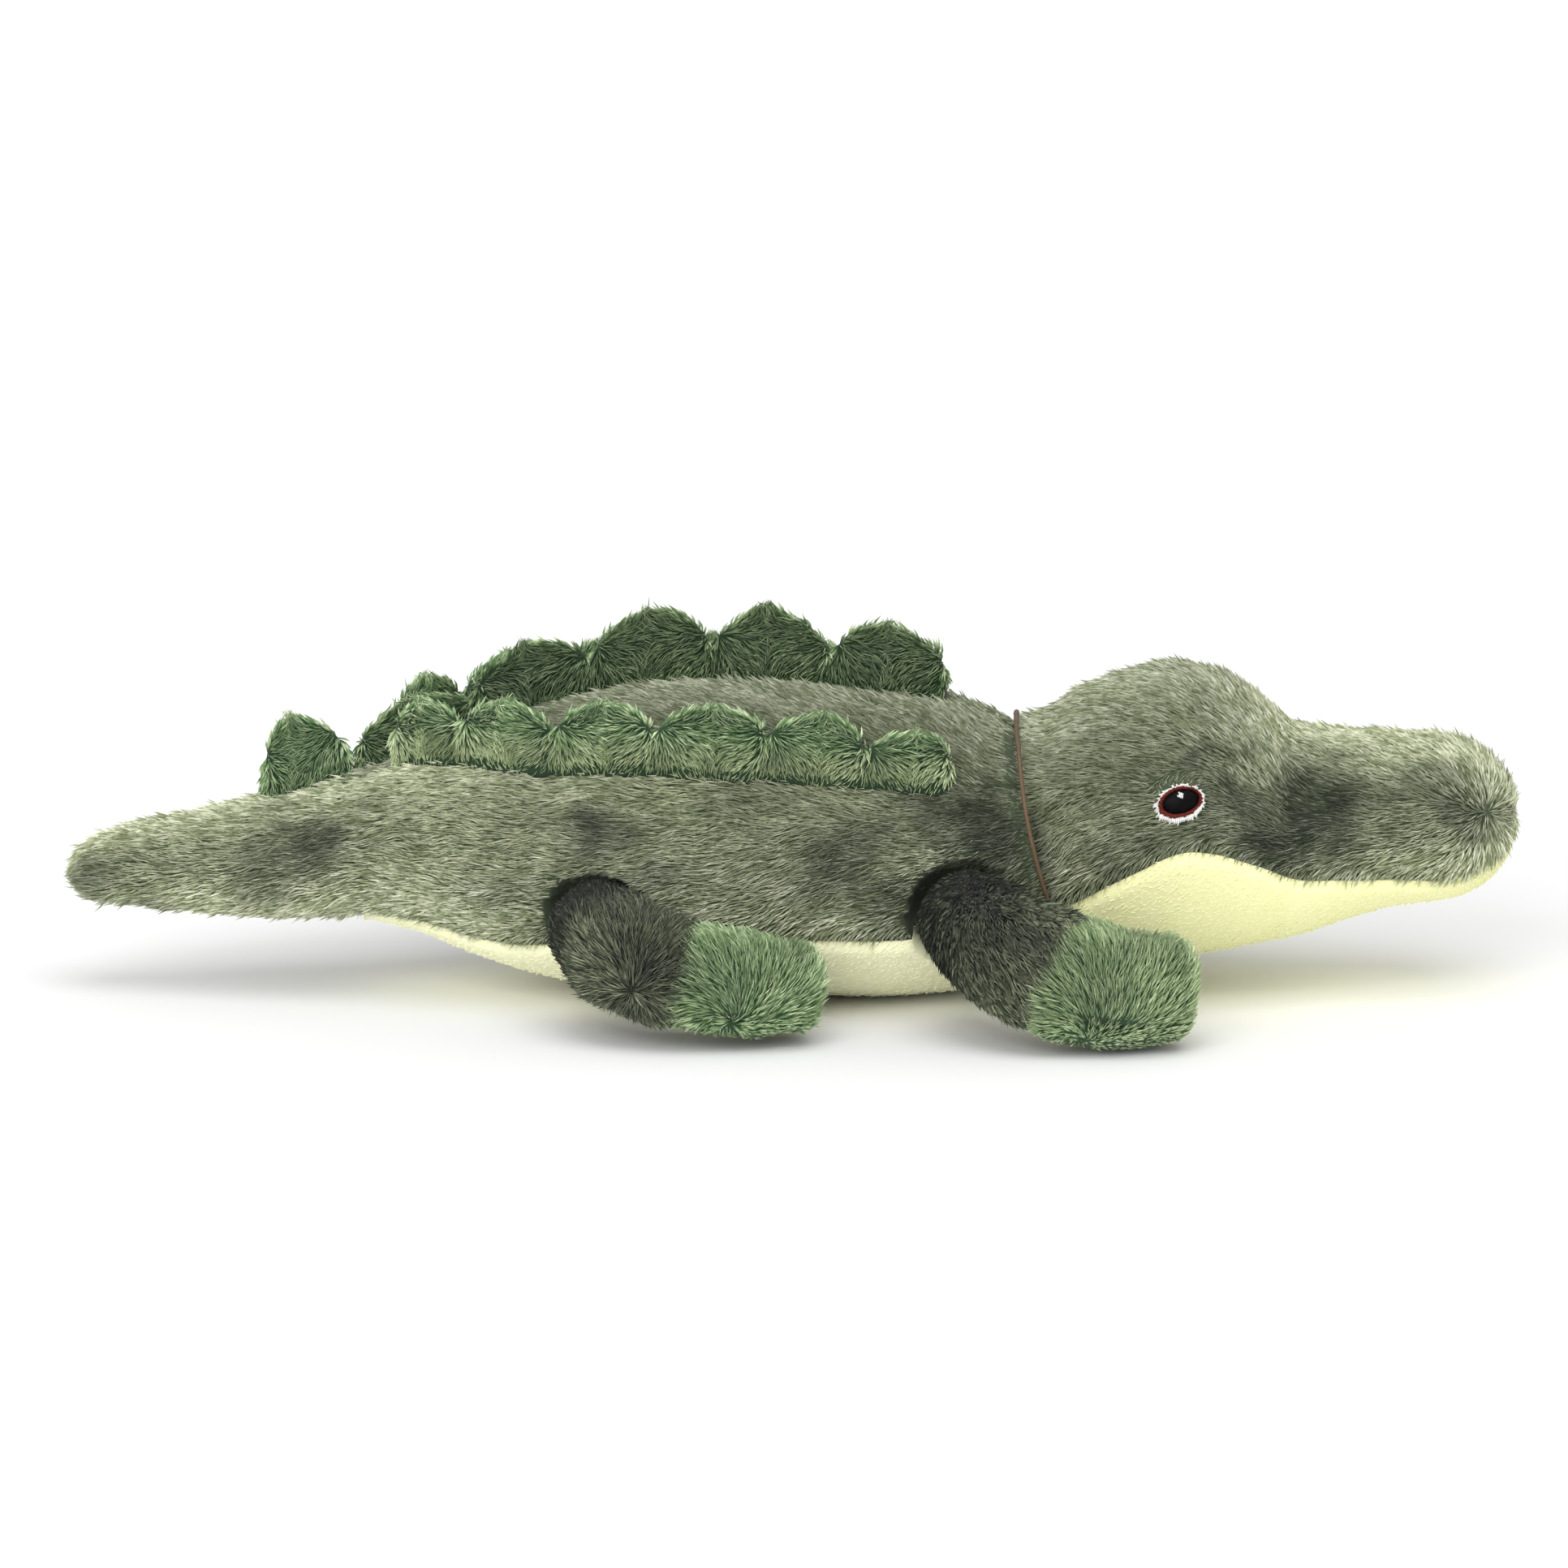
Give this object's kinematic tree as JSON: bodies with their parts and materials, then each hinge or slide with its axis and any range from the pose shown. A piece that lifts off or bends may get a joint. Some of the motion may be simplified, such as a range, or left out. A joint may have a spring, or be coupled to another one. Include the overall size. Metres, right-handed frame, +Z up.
{
  "type": "plush crocodile",
  "caption": "Stuffed crocodile lying on its belly, with padded back crests, embroidered eyes, and a head, tail and legs that turn at their seams.",
  "frame": {"origin": "on the surface that the toy lies on, under the middle of its overall box", "axes": "+X towards the nose, +Y towards the toy's left side, +Z up"},
  "size_m": [0.33, 0.1594, 0.0868],
  "materials": {
    "body_fur": "mottled sage plush fur",
    "belly_plush": "short pale yellow plush",
    "dark_fur": "dark grey-green plush fur",
    "green_fur": "shaggy green plush",
    "wadding": "loose white fibre filling",
    "pouch_cloth": "plain cloth pouch of pellets",
    "cord": "thin tan cord",
    "white_thread": "satin stitch",
    "brown_thread": "satin stitch",
    "black_thread": "satin stitch"
  },
  "bodies": {
    "torso": {"flank_left_skin": "body_fur", "back_left_skin": "body_fur", "back_right_skin": "body_fur", "flank_right_skin": "body_fur", "belly_skin": "belly_plush", "torso_wadding": "wadding", "pellet_pouch": "pouch_cloth", "neck_cord": "cord", "spine_crest": "green_fur", "side_crest_left": "green_fur", "side_crest_right": "green_fur"},
    "head": {"head_left_skin": "body_fur", "head_right_skin": "body_fur", "chin_skin": "belly_plush", "head_wadding": "wadding", "eye_border_left": "white_thread", "eye_ring_left": "brown_thread", "eye_pupil_left": "black_thread", "eye_highlight_left": "white_thread", "eye_border_right": "white_thread", "eye_ring_right": "brown_thread", "eye_pupil_right": "black_thread", "eye_highlight_right": "white_thread"},
    "tail": {"tail_left_skin": "body_fur", "tail_right_skin": "body_fur", "tail_wadding": "wadding", "tail_scute": "green_fur"},
    "hind_leg_left": {"hind_leg_left_sleeve_skin": "dark_fur", "hind_leg_left_foot_top_skin": "green_fur", "hind_leg_left_foot_sole_skin": "green_fur", "hind_leg_left_wadding": "wadding"},
    "hind_leg_right": {"hind_leg_right_sleeve_skin": "dark_fur", "hind_leg_right_foot_top_skin": "green_fur", "hind_leg_right_foot_sole_skin": "green_fur", "hind_leg_right_wadding": "wadding"},
    "front_leg_left": {"front_leg_left_sleeve_skin": "dark_fur", "front_leg_left_foot_top_skin": "green_fur", "front_leg_left_foot_sole_skin": "green_fur", "front_leg_left_wadding": "wadding"},
    "front_leg_right": {"front_leg_right_sleeve_skin": "dark_fur", "front_leg_right_foot_top_skin": "green_fur", "front_leg_right_foot_sole_skin": "green_fur", "front_leg_right_wadding": "wadding"}
  },
  "joints": [
    {"name": "head_turn", "type": "hinge", "parent": "torso", "child": "head", "pos_m": [0.07205, 0, 0.04009], "axis": [0, 0, 1], "range_deg": [-20, 20], "stiffness_Nm_per_rad": 0.05},
    {"name": "tail_turn", "type": "hinge", "parent": "torso", "child": "tail", "pos_m": [-0.10403, 0, 0.03346], "axis": [0, 0, 1], "range_deg": [-20, 20], "stiffness_Nm_per_rad": 0.03},
    {"name": "hind_leg_left_sweep", "type": "hinge", "parent": "torso", "child": "hind_leg_left", "pos_m": [-0.04399, 0.0391, 0.022], "axis": [0, 0, 1], "range_deg": [-4, 35], "stiffness_Nm_per_rad": 0.02},
    {"name": "hind_leg_right_sweep", "type": "hinge", "parent": "torso", "child": "hind_leg_right", "pos_m": [-0.04399, -0.0391, 0.022], "axis": [0, 0, -1], "range_deg": [-4, 35], "stiffness_Nm_per_rad": 0.02},
    {"name": "front_leg_left_sweep", "type": "hinge", "parent": "torso", "child": "front_leg_left", "pos_m": [0.04001, 0.03753, 0.024], "axis": [0, 0, 1], "range_deg": [-4, 35], "stiffness_Nm_per_rad": 0.02},
    {"name": "front_leg_right_sweep", "type": "hinge", "parent": "torso", "child": "front_leg_right", "pos_m": [0.04001, -0.03753, 0.024], "axis": [0, 0, -1], "range_deg": [-4, 35], "stiffness_Nm_per_rad": 0.02}
  ]
}
